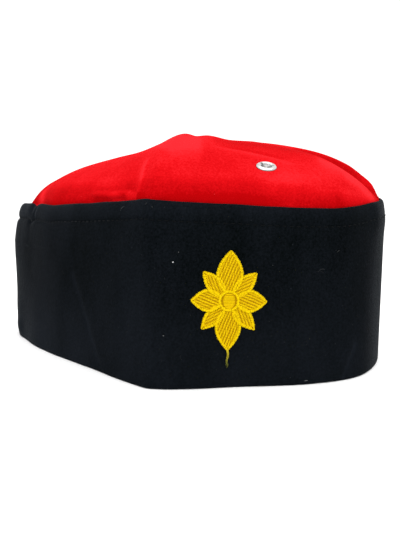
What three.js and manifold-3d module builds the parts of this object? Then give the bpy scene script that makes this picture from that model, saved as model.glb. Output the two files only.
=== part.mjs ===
// A songkok: a stiff black velvet side band with a soft red velvet crown sewn inside its top edge.
// Millimetres, +Z up. The front of the hat points to -Y and the wearer's right side to -X.
// The origin is on the surface that the hat stands on, under the middle of its length and width.

import * as THREE from 'three';
import { mergeVertices } from 'three/addons/utils/BufferGeometryUtils.js';
import Module from 'manifold-3d';

// Thicknesses and clearances
const BAND_WALL = 2.6;
const EDGE_WALL = 1.8;
const CROWN_WALL = 1.8;
const SEAM_GAP = 0.3;

// The band's outside seen from above, and the height of its top edge: one row for each bend.
// The right side has a folded crease near its middle, and its edge sags between crease and front.
const FRONT_TIP = { where: 'front tip', x: 2, y: -115.4, top: 87.8 };
const REAR_TIP = { where: 'rear tip', x: 1, y: 115.4, top: 87.0 };
const PLAN = [
  FRONT_TIP,
  { where: 'front left cheek', x: 27, y: -108, top: 87.0 },
  { where: 'front left side', x: 48, y: -88, top: 86.5 },
  { where: 'left side before the middle', x: 64, y: -58, top: 86.0 },
  { where: 'left side', x: 73.4, y: -22, top: 86.0 },
  { where: 'left side behind the middle', x: 73.2, y: 12, top: 86.0 },
  { where: 'rear left side', x: 63, y: 48, top: 86.0 },
  { where: 'rear left cheek', x: 44, y: 82, top: 86.0 },
  { where: 'rear left corner', x: 18, y: 108.5, top: 86.6 },
  REAR_TIP,
  { where: 'rear right corner', x: -9.7, y: 110.1, top: 87.0 },
  { where: 'rear right cheek', x: -20.9, y: 97.2, top: 86.8 },
  { where: 'rear right side', x: -39, y: 69.1, top: 85.9 },
  { where: 'right side behind the crease', x: -57.6, y: 31.2, top: 85.9 },
  { where: 'behind the crease', x: -69.8, y: 4.4, top: 86.0 },
  { where: 'crease', x: -74, y: -6.4, top: 86.5 },
  { where: 'before the crease', x: -71.7, y: -18.2, top: 85.2 },
  { where: 'right side before the crease', x: -62.2, y: -47, top: 83.7 },
  { where: 'front right side', x: -50.8, y: -78.2, top: 82.0 },
  { where: 'front right cheek', x: -38.8, y: -96.6, top: 82.8 },
  { where: 'front right corner', x: -20, y: -109.6, top: 85.8 },
];

// The band's wall in section, round its outside from the floor up, then down its inside.
// share is the part of the top edge's height that a row starts from, and rise is added to it.
// lean is the row's part of the wall's lean, and inset is how far it lies inside the plan besides.
// The wall leans in towards its thinner top edge, where a stitched groove sets off a rolled rim.
const FRONT_LEAN = 0.8;
const REAR_LEAN = 3.6;
const RIM = 8.4;
const GROOVE = 0.8;
const GROOVE_HALF = 1.4;
const HEM = 0.4;
const ROLL = 0.9;
const BAND_SECTION = [
  { at: 'foot', share: 0, rise: 0, lean: 0, inset: HEM },
  { at: 'hem', share: 0, rise: 2 * HEM, lean: 0, inset: 0 },
  { at: 'half height', share: 0.5, rise: 0, lean: 0, inset: 0 },
  { at: 'shoulder', share: 1, rise: -2.6 * RIM, lean: 0, inset: 0 },
  { at: 'under the groove', share: 1, rise: -RIM - GROOVE_HALF, lean: 0.4, inset: 0 },
  { at: 'groove', share: 1, rise: -RIM, lean: 0.45, inset: GROOVE },
  { at: 'over the groove', share: 1, rise: -RIM + GROOVE_HALF, lean: 0.5, inset: 0 },
  { at: 'top edge outside', share: 1, rise: -ROLL, lean: 1, inset: 0 },
  { at: 'top edge', share: 1, rise: 0, lean: 1, inset: EDGE_WALL / 3 },
  { at: 'top edge inside', share: 1, rise: 0, lean: 1, inset: EDGE_WALL * 2 / 3 },
  { at: 'top edge under', share: 1, rise: -ROLL, lean: 1, inset: EDGE_WALL },
  { at: 'seam inside', share: 1, rise: -RIM - 2 * GROOVE_HALF, lean: 0.4, inset: BAND_WALL },
  { at: 'half height inside', share: 0.5, rise: 0, lean: 0, inset: BAND_WALL },
  { at: 'hem inside', share: 0, rise: 2 * HEM, lean: 0, inset: BAND_WALL },
  { at: 'foot inside', share: 0, rise: 0, lean: 0, inset: BAND_WALL - HEM },
];

// The crown's skirt lies against the inside of the band, from the seam up to the crown's foot.
const SKIRT = { share: 1, rise: -RIM - GROOVE_HALF, lean: 0.4, inset: BAND_WALL + 1.5 * SEAM_GAP };
const FOOT = { share: 1, rise: -ROLL, lean: 1, inset: EDGE_WALL + SEAM_GAP };

// The crown across its width at stations from front to rear. right and left are the places of its
// two crests, as shares of the half width from the middle to either side, and gutter is the depth of
// the hollow between them, which lies at the front. Behind the peak the crests run together into one.
const oneCrest = (y, z) => ({ y, right: 0.04, right_z: z, gutter: 0, left: 0.04, left_z: z });
const CROWN = [
  { y: -112, right: 0.3, right_z: 87.0, gutter: 0, left: 0.3, left_z: 89.4 },
  { y: -109, right: 0.3, right_z: 89.4, gutter: 1.2, left: 0.28, left_z: 96.0 },
  { y: -104, right: 0.28, right_z: 94.4, gutter: 2.4, left: 0.26, left_z: 101.2 },
  { y: -96, right: 0.26, right_z: 100.6, gutter: 3, left: 0.24, left_z: 107.6 },
  { y: -82, right: 0.2, right_z: 109.2, gutter: 2.4, left: 0.22, left_z: 114.4 },
  { y: -64, right: 0.02, right_z: 116.4, gutter: 0.6, left: 0.2, left_z: 119.4 },
  { y: -44, right: -0.12, right_z: 122.2, gutter: 0, left: 0.18, left_z: 122.8 },
  { y: -29, right: -0.08, right_z: 124.2, gutter: 0, left: 0.14, left_z: 124.6 },
  { y: -19, right: 0, right_z: 125.2, gutter: 0, left: 0.08, left_z: 125.6 },
  oneCrest(-12, 124.6),
  oneCrest(-5, 126.2),
  oneCrest(6, 122.2),
  oneCrest(20, 117.8),
  oneCrest(36, 115.2),
  oneCrest(60, 110.6),
  oneCrest(80, 104.4),
  oneCrest(90, 99.6),
  oneCrest(96, 94.8),
  oneCrest(103, 87.2),
  oneCrest(110, 85.8),
];
// How full the crown stands between foot and crest at places from front to rear: 1 is a straight
// slope and 2 a quarter ellipse. The gathered rear end is the least full.
const FULLNESS_AT = [-10, 30, 66, 100];
const FULLNESS = [1.5, 1.75, 1.75, 1.2];

// The metal vent eyelet on the crown's right slope: its place in plan, radii and flange thickness
const EYELET = { x: -37.3, y: -55.2, hole: 2.4, barrel: 3, flange: 5.3, washer: 4.8, thick: 0.8 };

// The embroidered rosette on the band, right of the front: eight pointed petals round a hub.
// A turn is a petal's direction from upright, in degrees.
const ROSETTE = { y: -42.3, height: 40.5, hub: 5, thick: 0.9, lean: 2 };
const PETALS = [
  { where: 'up and down', turns: [0, 180], start: 2, tip: 23, half: 6.2 },
  { where: 'to the sides', turns: [90, 270], start: 2, tip: 17.5, half: 5.4 },
  { where: 'between', turns: [43, 137, 223, 317], start: 2, tip: 18, half: 4 },
];

// How finely curves are divided
const STATIONS = 84;
const CROWN_RINGS = 13;
const FINE = 720;
const ROUND = 24;
const PETAL_STEPS = 9;

const wasm = await Module();
wasm.setup();

const plan = new THREE.CatmullRomCurve3(
  PLAN.map(({ x, y, top }) => new THREE.Vector3(x, y, top)), true, 'centripetal');
plan.arcLengthDivisions = FINE;

// A point of the plan at a share of its length, with the level direction that points into the hat.
function planStation(share) {
  const point = plan.getPointAt(share);
  const along = plan.getTangentAt(share);
  const inward = new THREE.Vector2(-along.y, along.x).normalize();
  return { share, x: point.x, y: point.y, top: point.z, inward };
}

function planStations(count) {
  return Array.from({ length: count }, (_, k) => planStation(k / count));
}

// The place at a station that lies inset into the hat, at height z.
function insetPoint(station, inset, z) {
  return new THREE.Vector3(
    station.x + inset * station.inward.x, station.y + inset * station.inward.y, z);
}

// A row of the wall's section at a station. The lean grows from the front of the hat to its rear.
function sectionPoint(station, { share, rise, lean, inset }) {
  const wallLean = THREE.MathUtils.mapLinear(
    station.y, FRONT_TIP.y, REAR_TIP.y, FRONT_LEAN, REAR_LEAN);
  return insetPoint(station, lean * wallLean + inset, share * station.top + rise);
}

// The corners of the triangles between rings of points. Each ring closes on itself, and rings join
// in turn. A closed list of rings joins its last ring to its first.
function ringTriangles(rings, closed) {
  const corners = [];
  const last = closed ? rings.length : rings.length - 1;
  for (let j = 0; j < last; j += 1) {
    const lower = rings[j];
    const upper = rings[(j + 1) % rings.length];
    for (let k = 0; k < lower.length; k += 1) {
      const next = (k + 1) % lower.length;
      corners.push(lower[k], lower[next], upper[next]);
      corners.push(lower[k], upper[next], upper[k]);
    }
  }
  return corners;
}

function geometryOf(corners) {
  return new THREE.BufferGeometry().setFromPoints(corners);
}

function solidOf(geometry) {
  const bare = geometry.clone();
  bare.deleteAttribute('normal');
  bare.deleteAttribute('uv');
  const merged = mergeVertices(bare, 1e-4);
  return new wasm.Manifold(new wasm.Mesh({
    numProp: 3,
    vertProperties: new Float32Array(merged.attributes.position.array),
    triVerts: new Uint32Array(merged.index.array),
  }));
}

function geometryFrom(solid) {
  const mesh = solid.getMesh();
  const geometry = new THREE.BufferGeometry();
  const position = new THREE.BufferAttribute(new Float32Array(mesh.vertProperties), 3);
  geometry.setAttribute('position', position);
  geometry.setIndex(new THREE.BufferAttribute(new Uint32Array(mesh.triVerts), 1));
  return geometry;
}

// The band: its section carried round the plan.
function bandGeometry() {
  const stations = planStations(STATIONS);
  const rings = BAND_SECTION.map((row) => stations.map((station) => sectionPoint(station, row)));
  return geometryOf(ringTriangles(rings, true));
}

// A column of the crown's table at y, on a cubic through the rows with their mean slopes.
function crownColumn(name, y) {
  const end = CROWN.length - 2;
  const found = CROWN.findIndex((row) => row.y > y);
  const k = THREE.MathUtils.clamp(found < 0 ? end : found - 1, 0, end);
  const slope = (a, b) => (CROWN[b][name] - CROWN[a][name]) / (CROWN[b].y - CROWN[a].y);
  const span = CROWN[k + 1].y - CROWN[k].y;
  const t = THREE.MathUtils.clamp((y - CROWN[k].y) / span, 0, 1);
  const leave = slope(Math.max(k - 1, 0), k + 1) * span;
  const reach = slope(k, Math.min(k + 2, CROWN.length - 1)) * span;
  const rise = CROWN[k + 1][name] - CROWN[k][name];
  const bend = leave + reach - 2 * rise;
  return CROWN[k][name] + t * (leave + t * (3 * rise - 2 * leave - reach + t * bend));
}

const footLine = planStations(FINE).map((station) => sectionPoint(station, FOOT));

// Where a line across the hat at y meets the crown's foot, on the hat's right and on its left.
function crownFoot(y) {
  const hits = [];
  footLine.forEach((point, k) => {
    const next = footLine[(k + 1) % FINE];
    if ((point.y - y) * (next.y - y) <= 0 && point.y !== next.y) {
      hits.push(point.clone().lerp(next, (y - point.y) / (next.y - point.y)));
    }
  });
  hits.sort((a, b) => a.x - b.x);
  return { right: hits[0], left: hits[hits.length - 1] };
}

const fullness = new THREE.LinearInterpolant(FULLNESS_AT, FULLNESS, 1);

// The slope between crest and foot at y: 1 at the crest, 0 at the foot, and upright there.
function slopeShape(away, y) {
  const held = THREE.MathUtils.clamp(away, 0, 1);
  const [power] = fullness.evaluate(y);
  return (1 - held ** power) ** (1 / power);
}

// The crown's outside height above a place in plan: a soft step from crest to crest with the gutter
// in it, and slopes from the crests down to the foot.
function crownHeight(x, y) {
  const foot = crownFoot(y);
  const half = Math.max((foot.left.x - foot.right.x) / 2, 0.5);
  const across = (x - (foot.left.x + foot.right.x) / 2) / half;
  const right = crownColumn('right', y);
  const left = crownColumn('left', y);
  const rightZ = crownColumn('right_z', y);
  const leftZ = crownColumn('left_z', y);
  if (across < -right) {
    return foot.right.z + (rightZ - foot.right.z) * slopeShape((-right - across) / (1 - right), y);
  }
  if (across > left) {
    return foot.left.z + (leftZ - foot.left.z) * slopeShape((across - left) / (1 - left), y);
  }
  const between = (across + right) / (left + right);
  const hollow = crownColumn('gutter', y) * Math.sin(Math.PI * between) ** 2;
  return rightZ + (leftZ - rightZ) * THREE.MathUtils.smoothstep(between, 0, 1) - hollow;
}

// The crown's outside normal at a place well inside its foot, from its height on either side.
function crownNormal(x, y) {
  const step = 1.5;
  const slopeX = (crownHeight(x + step, y) - crownHeight(x - step, y)) / (2 * step);
  const slopeY = (crownHeight(x, y + step) - crownHeight(x, y - step)) / (2 * step);
  return new THREE.Vector3(-slopeX, -slopeY, 1).normalize();
}

// The same surface moved inwards: each point goes one wall against the normal of its neighbours.
function innerRings(rings, apex) {
  return rings.map((ring, j) => ring.map((point, k) => {
    const below = rings[Math.max(j - 1, 0)][k];
    const above = j + 1 < rings.length ? rings[j + 1][k] : apex;
    const before = ring[(k + STATIONS - 1) % STATIONS];
    const along = ring[(k + 1) % STATIONS].clone().sub(before);
    const outward = along.cross(above.clone().sub(below)).normalize();
    return point.clone().addScaledVector(outward, -CROWN_WALL);
  }));
}

// The crown: a skirt that follows the band's inside up to the foot, then rings that shrink to the
// middle of the plan and rise over the crests. The inside repeats the outside one wall further in.
function crownGeometry() {
  const stations = planStations(STATIONS);
  const outer = [SKIRT, FOOT].map((row) => stations.map((station) => sectionPoint(station, row)));
  for (let j = 1; j < CROWN_RINGS; j += 1) {
    const shrink = Math.cos((Math.PI / 2) * (j / CROWN_RINGS));
    outer.push(outer[1].map(({ x, y }) =>
      new THREE.Vector3(x * shrink, y * shrink, crownHeight(x * shrink, y * shrink))));
  }
  const apex = new THREE.Vector3(0, 0, crownHeight(0, 0));
  const apexInside = apex.clone().addScaledVector(crownNormal(0, 0), -CROWN_WALL);
  const inner = innerRings(outer, apex);
  const corners = [
    ...ringTriangles(outer, false),
    ...ringTriangles([inner[0], outer[0]], false),
    ...ringTriangles([...inner].reverse(), false),
  ];
  const lastOut = outer[outer.length - 1];
  const lastIn = inner[inner.length - 1];
  for (let k = 0; k < STATIONS; k += 1) {
    const next = (k + 1) % STATIONS;
    corners.push(lastOut[k], lastOut[next], apex);
    corners.push(lastIn[next], lastIn[k], apexInside);
  }
  return geometryOf(corners);
}

// The eyelet's own frame: its middle on the crown's outside, and the turn of +Z to the normal there.
const eyeletPlace = new THREE.Vector3(EYELET.x, EYELET.y, crownHeight(EYELET.x, EYELET.y));
const eyeletTurn = new THREE.Quaternion().setFromUnitVectors(
  new THREE.Vector3(0, 0, 1), crownNormal(EYELET.x, EYELET.y));

function placedOnCrown(geometry) {
  return geometry.applyQuaternion(eyeletTurn).translate(eyeletPlace.x, eyeletPlace.y, eyeletPlace.z);
}

// A rounded flange above the cloth, a barrel through it and a flat washer below, in one turned piece.
function eyeletGeometry() {
  const { hole, barrel, flange, washer, thick } = EYELET;
  const above = SEAM_GAP;
  const below = -CROWN_WALL - 2.5 * SEAM_GAP;
  const bottom = below - 0.6 * thick;
  const profile = [
    { at: 'washer inside', radius: hole, height: bottom },
    { at: 'washer edge', radius: washer, height: bottom },
    { at: 'washer top', radius: washer, height: below },
    { at: 'barrel foot', radius: barrel, height: below },
    { at: 'barrel head', radius: barrel, height: above },
    { at: 'flange edge', radius: flange, height: above },
    { at: 'flange side', radius: flange, height: above + 0.4 * thick },
    { at: 'flange shoulder', radius: flange - 0.7 * thick, height: above + thick },
    { at: 'flange top', radius: hole + 1.2 * thick, height: above + thick },
    { at: 'mouth', radius: hole + 0.3 * thick, height: above + 0.6 * thick },
    { at: 'throat', radius: hole, height: above },
  ];
  const points = [...profile, profile[0]].map(({ radius, height }) => new THREE.Vector2(radius, height));
  return placedOnCrown(new THREE.LatheGeometry(points, ROUND).rotateX(Math.PI / 2));
}

// The crown with the eyelet's hole cut through it.
function piercedCrownGeometry() {
  const radius = EYELET.barrel + SEAM_GAP;
  const length = 6 * CROWN_WALL;
  const drill = new THREE.CylinderGeometry(radius, radius, length, ROUND).rotateX(Math.PI / 2);
  return geometryFrom(solidOf(crownGeometry()).subtract(solidOf(placedOnCrown(drill))));
}

// A petal's outline: widest near half way, with a round root and a drawn-out tip.
function petalShape({ start, tip, half }) {
  const side = (sign) => Array.from({ length: PETAL_STEPS + 1 }, (_, k) => {
    const t = k / PETAL_STEPS;
    const width = half * Math.sin(Math.PI * t ** 0.9) ** 0.8;
    return new THREE.Vector2(sign * width, start + (tip - start) * t);
  });
  return new THREE.Shape([...side(1), ...side(-1).slice(1, -1).reverse()]);
}

// The rosette lies flat first, +Y up and +Z out of the band, with its petals joined to the hub.
function flatRosette() {
  const { hub, thick, lean } = ROSETTE;
  const disc = new THREE.CylinderGeometry(hub, hub, thick, ROUND).rotateX(Math.PI / 2);
  let flat = solidOf(disc.translate(0, 0, thick / 2));
  PETALS.forEach((petal) => {
    petal.turns.forEach((turn) => {
      const blade = new THREE.ExtrudeGeometry(petalShape(petal), { depth: thick, bevelEnabled: false });
      flat = flat.add(solidOf(blade.rotateZ(THREE.MathUtils.degToRad(-turn))));
    });
  });
  return geometryFrom(flat).rotateZ(THREE.MathUtils.degToRad(-lean));
}

// The rosette bent onto the band's outside, its middle on the right side at the rosette's y.
function rosetteGeometry() {
  const geometry = flatRosette();
  const missOf = ({ x, y }) => (x < 0 ? Math.abs(y - ROSETTE.y) : Infinity);
  const middle = planStations(FINE).reduce((best, station) =>
    (missOf(station) < missOf(best) ? station : best));
  const position = geometry.attributes.position;
  for (let k = 0; k < position.count; k += 1) {
    const station = planStation(middle.share + position.getX(k) / plan.getLength());
    const place = insetPoint(
      station, -SEAM_GAP - position.getZ(k), ROSETTE.height + position.getY(k));
    position.setXYZ(k, place.x, place.y, place.z);
  }
  return geometry;
}

function piece(name, geometry, look) {
  const mesh = new THREE.Mesh(geometry, new THREE.MeshStandardMaterial(look));
  mesh.name = name;
  return mesh;
}

const BLACK_VELVET = { color: 0x14161a, roughness: 0.95, metalness: 0 };
const RED_VELVET = { color: 0xd8101c, roughness: 0.9, metalness: 0 };
const NICKEL = { color: 0xc9cacc, roughness: 0.25, metalness: 1 };
const YELLOW_THREAD = { color: 0xf2bd08, roughness: 0.5, metalness: 0 };

const songkok = new THREE.Group();
songkok.add(piece('side_band', bandGeometry(), BLACK_VELVET));
songkok.add(piece('crown', piercedCrownGeometry(), RED_VELVET));
songkok.add(piece('eyelet', eyeletGeometry(), NICKEL));
songkok.add(piece('emblem', rosetteGeometry(), YELLOW_THREAD));

export default songkok;
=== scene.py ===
# %% [markdown]
# # A songkok in black and red velvet
# This lesson dresses a hat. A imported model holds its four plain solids: a side band, a crown, an eyelet
# and an emblem. Each one gets a finer surface here, worked out with numpy in the same frame, in metres.
# The hat stands on z = 0, its front points to -Y and the wearer's right side is at -X.

import bpy
import numpy as np
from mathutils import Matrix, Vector


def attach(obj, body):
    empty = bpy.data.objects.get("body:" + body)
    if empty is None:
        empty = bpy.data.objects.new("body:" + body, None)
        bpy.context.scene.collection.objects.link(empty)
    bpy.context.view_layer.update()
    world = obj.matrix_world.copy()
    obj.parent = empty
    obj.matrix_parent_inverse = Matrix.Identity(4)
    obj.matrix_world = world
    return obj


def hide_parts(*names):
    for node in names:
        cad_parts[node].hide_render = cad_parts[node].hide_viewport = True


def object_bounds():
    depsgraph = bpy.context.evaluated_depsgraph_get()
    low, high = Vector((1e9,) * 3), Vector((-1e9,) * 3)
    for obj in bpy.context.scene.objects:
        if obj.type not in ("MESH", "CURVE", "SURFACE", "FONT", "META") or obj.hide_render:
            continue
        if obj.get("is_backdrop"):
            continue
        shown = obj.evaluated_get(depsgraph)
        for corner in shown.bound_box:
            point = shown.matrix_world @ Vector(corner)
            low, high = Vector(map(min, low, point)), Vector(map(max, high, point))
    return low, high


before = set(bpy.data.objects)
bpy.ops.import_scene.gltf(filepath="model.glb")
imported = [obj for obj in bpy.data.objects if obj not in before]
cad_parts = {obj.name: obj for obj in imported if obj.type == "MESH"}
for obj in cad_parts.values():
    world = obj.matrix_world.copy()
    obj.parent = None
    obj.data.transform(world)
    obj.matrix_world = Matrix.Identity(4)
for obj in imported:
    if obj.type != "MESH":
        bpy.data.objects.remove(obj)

MM = 0.001
CAD_LOW, CAD_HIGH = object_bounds()
print("solids:", sorted(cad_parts), "from", tuple(CAD_LOW), "to", tuple(CAD_HIGH))

# %% [markdown]
# ## Camera
# The photograph was taken from close by, a little above the table and looking slightly down, with the
# wearer's right side of the hat in front. A camera could be placed by eye. Here its place, heading and
# focal length are named values that were worked out from the hat's outline in the 400 by 533 picture,
# so the render can be laid over the photograph.

# %% Camera
IMAGE_HEIGHT = 533
FOCAL_PIXELS = 430
SENSOR = 36.0
CAMERA_PLACE = Vector((-252.0, -77.4, 78.2)) * MM
CAMERA_HEADING = Vector((0.9681, 0.2504, 0.0))
CAMERA_DIP = np.radians(6.6)
NEAREST_SEEN = 10 * MM

lens = bpy.data.cameras.new("camera")
lens.sensor_width = SENSOR
lens.lens = FOCAL_PIXELS * SENSOR / IMAGE_HEIGHT
lens.clip_start = NEAREST_SEEN
camera = bpy.data.objects.new("camera", lens)
looking = CAMERA_HEADING * np.cos(CAMERA_DIP) - Vector((0, 0, np.sin(CAMERA_DIP)))
camera.location = CAMERA_PLACE
camera.rotation_mode = "QUATERNION"
camera.rotation_quaternion = looking.to_track_quat("-Z", "Y")
bpy.context.scene.collection.objects.link(camera)
bpy.context.scene.camera = camera
print("camera at", tuple(camera.location), "with a lens of", round(lens.lens, 2), "mm")

# %% [markdown]
# ## From arrays to meshes
# Every piece below is a grid of points, or many small rods made as one array. These helpers turn such
# arrays into faces and put them into a mesh whose object stays at the origin. A loop over vertices would
# be slow and hard to read, so whole arrays go in at once.


# %% Mesh helpers
def grid_faces(rows, columns, close_rows=False):
    """Quads over rows by columns points whose rows close on themselves: each quad joins a point, the next
    point of its row, and the same two points of the next row. close_rows joins the last row to the first."""
    index = np.arange(rows * columns).reshape(rows, columns)
    index = np.hstack([index, index[:, :1]])
    if close_rows:
        index = np.vstack([index, index[:1]])
    return np.stack([index[:-1, :-1], index[:-1, 1:], index[1:, 1:], index[1:, :-1]], axis=-1)


def add_piece(name, points, faces, material, uv=None, shade=None):
    """A smooth mesh object from arrays, riding on the hat. uv has a pair for each corner of each face,
    and shade a number for each point."""
    mesh = bpy.data.meshes.new(name)
    mesh.from_pydata(np.asarray(points).reshape(-1, 3), [], faces)
    if uv is not None:
        mesh.uv_layers.new(name="along_around").data.foreach_set("uv", np.ravel(uv))
    if shade is not None:
        mesh.attributes.new("shade", "FLOAT", "POINT").data.foreach_set("value", np.ravel(shade))
    mesh.shade_smooth()
    mesh.materials.append(material)
    piece = bpy.data.objects.new(name, mesh)
    bpy.context.scene.collection.objects.link(piece)
    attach(piece, "root")
    mesh.calc_loop_triangles()
    print(name, "has", len(mesh.loop_triangles), "triangles")
    return piece


# %% [markdown]
# ## Finishes
# Velvet is a pile of short upright fibres. Seen from the side it shines softly, and where the pile has
# been brushed another way it looks lighter or darker. An image of velvet could be laid on, but it would
# stretch over the folds. Here the shader's sheen gives the soft shine, and a tone that changes over the
# cloth picks a colour between deep, middle and bright. The brushed patches, drawn out along the pile, its
# grain and the dust in it are shared by the black and the red cloth, so they are a node group that each
# material uses with values of its own. Thread is a second group.


# %% Node helpers
def add_node(tree, kind, inputs=None, **settings):
    """A shader node with its settings. inputs gives each named socket a value or a link."""
    made = tree.nodes.new("ShaderNode" + kind)
    for name, value in settings.items():
        setattr(made, name, value)
    for name, value in (inputs or {}).items():
        if isinstance(value, bpy.types.NodeSocket):
            tree.links.new(value, made.inputs[name])
        else:
            made.inputs[name].default_value = value
    return made


def calculate(tree, operation, *values):
    """The result of a Math node on values or links."""
    return add_node(tree, "Math", dict(enumerate(values)), operation=operation).outputs["Value"]


def remap(tree, value, before, after=(0.0, 1.0), **settings):
    """A value carried from one range to another and held at the ends of it."""
    ends = {"From Min": before[0], "From Max": before[1], "To Min": after[0], "To Max": after[1]}
    return add_node(tree, "MapRange", {"Value": value, **ends}, **settings).outputs["Result"]


def noise(tree, position, scale, detail, roughness=0.5):
    """A cloudy value that changes from place to place."""
    inputs = {"Vector": position, "Scale": scale, "Detail": detail, "Roughness": roughness}
    return add_node(tree, "TexNoise", inputs).outputs["Fac"]


def blend(tree, factor, first, second):
    """A colour that goes from the first to the second with a factor. Each may be a colour or a link."""
    first, second = (c if isinstance(c, bpy.types.NodeSocket) else (*c, 1) for c in (first, second))
    inputs = {"Factor": factor, "A": first, "B": second}
    return add_node(tree, "Mix", inputs, data_type="RGBA").outputs["Result"]


def mesh_shade(tree):
    """The number that each point of the mesh carries as its shade."""
    return add_node(tree, "Attribute", attribute_name="shade").outputs["Fac"]


def bumped(tree, height, strength, distance):
    """The normal of a surface with small bumps."""
    inputs = {"Height": height, "Strength": strength, "Distance": distance}
    return add_node(tree, "Bump", inputs).outputs["Normal"]


def new_group(name, inputs, outputs):
    """An empty node group with named sockets, and its two end nodes."""
    group = bpy.data.node_groups.new(name, "ShaderNodeTree")
    for label, kind in inputs.items():
        group.interface.new_socket(label, in_out="INPUT", socket_type="NodeSocket" + kind)
    for label, kind in outputs.items():
        group.interface.new_socket(label, in_out="OUTPUT", socket_type="NodeSocket" + kind)
    return group, group.nodes.new("NodeGroupInput"), group.nodes.new("NodeGroupOutput")


def new_material(name, **constants):
    """A material with a Principled BSDF, whose even values are set on the shader's own sockets."""
    material = bpy.data.materials.new(name)
    material.use_nodes = True
    shader = material.node_tree.nodes["Principled BSDF"]
    for label, value in constants.items():
        shader.inputs[label.replace("_", " ")].default_value = value
    return material, material.node_tree, shader


def feed(tree, shader, **links):
    """Links what changes over the surface to the shader's sockets."""
    for label, socket in links.items():
        tree.links.new(socket, shader.inputs[label.replace("_", " ")])


# %% Velvet pile group
PATCH_STRETCH = (1.0, 1.0, 0.4)  # patches are longer down the wall
PATCH_EDGES = (0.3, 0.7)
GRAIN_SCALE, FIBRE_SCALE, SPECK_SCALE = 900.0, 2600.0, 420.0
CLEAN_SHARE = 0.86  # of the cells that specks may lie in
SPECK_REACH = 0.13  # of a cell, for the largest speck
FIBRE_HEIGHT = 0.6  # beside the grain's

pile_group, given, made = new_group(
    "velvet_pile",
    {"Position": "Vector", "Patches": "Float", "Dust": "Float"},
    {"Brushed": "Float", "Grain": "Float", "Dusty": "Float", "Height": "Float"})
position = given.outputs["Position"]
drawn_out = add_node(pile_group, "Mapping", {"Vector": position, "Scale": PATCH_STRETCH}).outputs["Vector"]
patch = noise(pile_group, drawn_out, given.outputs["Patches"], detail=4.0, roughness=0.6)
grain = noise(pile_group, position, GRAIN_SCALE, detail=3.0, roughness=0.7)
fibre = noise(pile_group, position, FIBRE_SCALE, detail=2.0, roughness=0.6)
cells = add_node(pile_group, "TexVoronoi", {"Vector": position, "Scale": SPECK_SCALE, "Randomness": 1.0})
chance = add_node(pile_group, "SeparateColor", {"Color": cells.outputs["Color"]}).outputs["Red"]
speck_size = remap(pile_group, chance, (CLEAN_SHARE, 1.0), (0.0, SPECK_REACH))
speck = calculate(pile_group, "LESS_THAN", cells.outputs["Distance"], speck_size)
for label, socket in {
        "Brushed": remap(pile_group, patch, PATCH_EDGES),
        "Grain": grain,
        "Dusty": calculate(pile_group, "MULTIPLY", speck, given.outputs["Dust"]),
        "Height": calculate(pile_group, "MULTIPLY_ADD", fibre, FIBRE_HEIGHT, grain)}.items():
    pile_group.links.new(socket, made.inputs[label])
print(pile_group.name, "puts out", [s.name for s in made.inputs if s.name])

# %% Velvet materials
PATCH_SHARE = 0.4
GRAIN_SHARE = 1.3
PILE_DEPTH = 0.35 * MM


def velvet(name, colours, dust_colour, patches, dust, bump, tones, contrast, **constants):
    """Cloth whose colour runs through three colours, deep, middle and bright, with its tone. tones are
    pairs of a height in mm and the tone there, eased from each to the next, and paint light and shade by
    height. The mesh's shade is added, mostly painted light and shade, and then the random patches and the
    grain, times contrast."""
    material, tree, shader = new_material(name, **constants)
    position = add_node(tree, "TexCoord").outputs["Object"]
    height = add_node(tree, "SeparateXYZ", {0: position}).outputs["Z"]
    pile = add_node(
        tree, "Group", {"Position": position, "Patches": patches, "Dust": dust}, node_tree=pile_group).outputs
    tone = tones[0][1] - 0.5 * contrast * (PATCH_SHARE + GRAIN_SHARE)
    for (low, tone_low), (high, tone_high) in zip(tones, tones[1:]):
        step = remap(tree, height, (low * MM, high * MM), (0.0, tone_high - tone_low),
                     interpolation_type="SMOOTHSTEP")
        tone = calculate(tree, "ADD", step, tone)
    tone = calculate(tree, "ADD", mesh_shade(tree), tone)
    for label, share in (("Brushed", PATCH_SHARE), ("Grain", GRAIN_SHARE)):
        tone = calculate(tree, "MULTIPLY_ADD", pile[label], contrast * share, tone)
    ramp = add_node(tree, "ValToRGB", {"Fac": tone})
    ramp.color_ramp.elements.new(0.5)
    for stop, colour in zip(ramp.color_ramp.elements, colours):
        stop.color = (*colour, 1)
    feed(tree, shader,
         Base_Color=blend(tree, pile["Dusty"], ramp.outputs["Color"], dust_colour),
         Normal=bumped(tree, pile["Height"], bump, PILE_DEPTH))
    return material


# Painted light: the band's tones by height are lighter at the hem, as light from the pale floor, darkest up
# the wall and lighter again at the rim.
black_velvet = velvet(
    "black_velvet", colours=((0.0004, 0.0010, 0.0010), (0.0034, 0.0046, 0.0062), (0.0064, 0.0082, 0.0113)),
    dust_colour=(0.016, 0.018, 0.021), patches=38.0, dust=0.6, bump=0.6,
    tones=((8, 0.56), (60, 0.33), (74, 0.33), (82, 0.53)), contrast=0.93,
    Roughness=0.95, Specular_IOR_Level=0.02,
    Sheen_Weight=0.08, Sheen_Roughness=0.22, Sheen_Tint=(0.9, 0.95, 1.0, 1.0))
# Painted light and shade: the crown's tones by height are darker low down by the rim and lighter towards the
# top, and the bright colour's paler pink at the peak is a painted sheen.
red_velvet = velvet(
    "red_velvet", colours=((0.325, 0.0009, 0.0018), (0.498, 0.0033, 0.0055), (0.67, 0.0152, 0.0208)),
    dust_colour=(0.68, 0.03, 0.035), patches=30.0, dust=0.5, bump=0.45,
    tones=((84, -0.06), (91, 0.16), (98.5, 0.53), (126, 0.77)), contrast=0.74,
    Roughness=0.9, Specular_IOR_Level=0.0,
    Sheen_Weight=0.03, Sheen_Roughness=0.3, Sheen_Tint=(1.0, 0.5, 0.52, 1.0))
print("velvets:", black_velvet.name, red_velvet.name)

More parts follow.
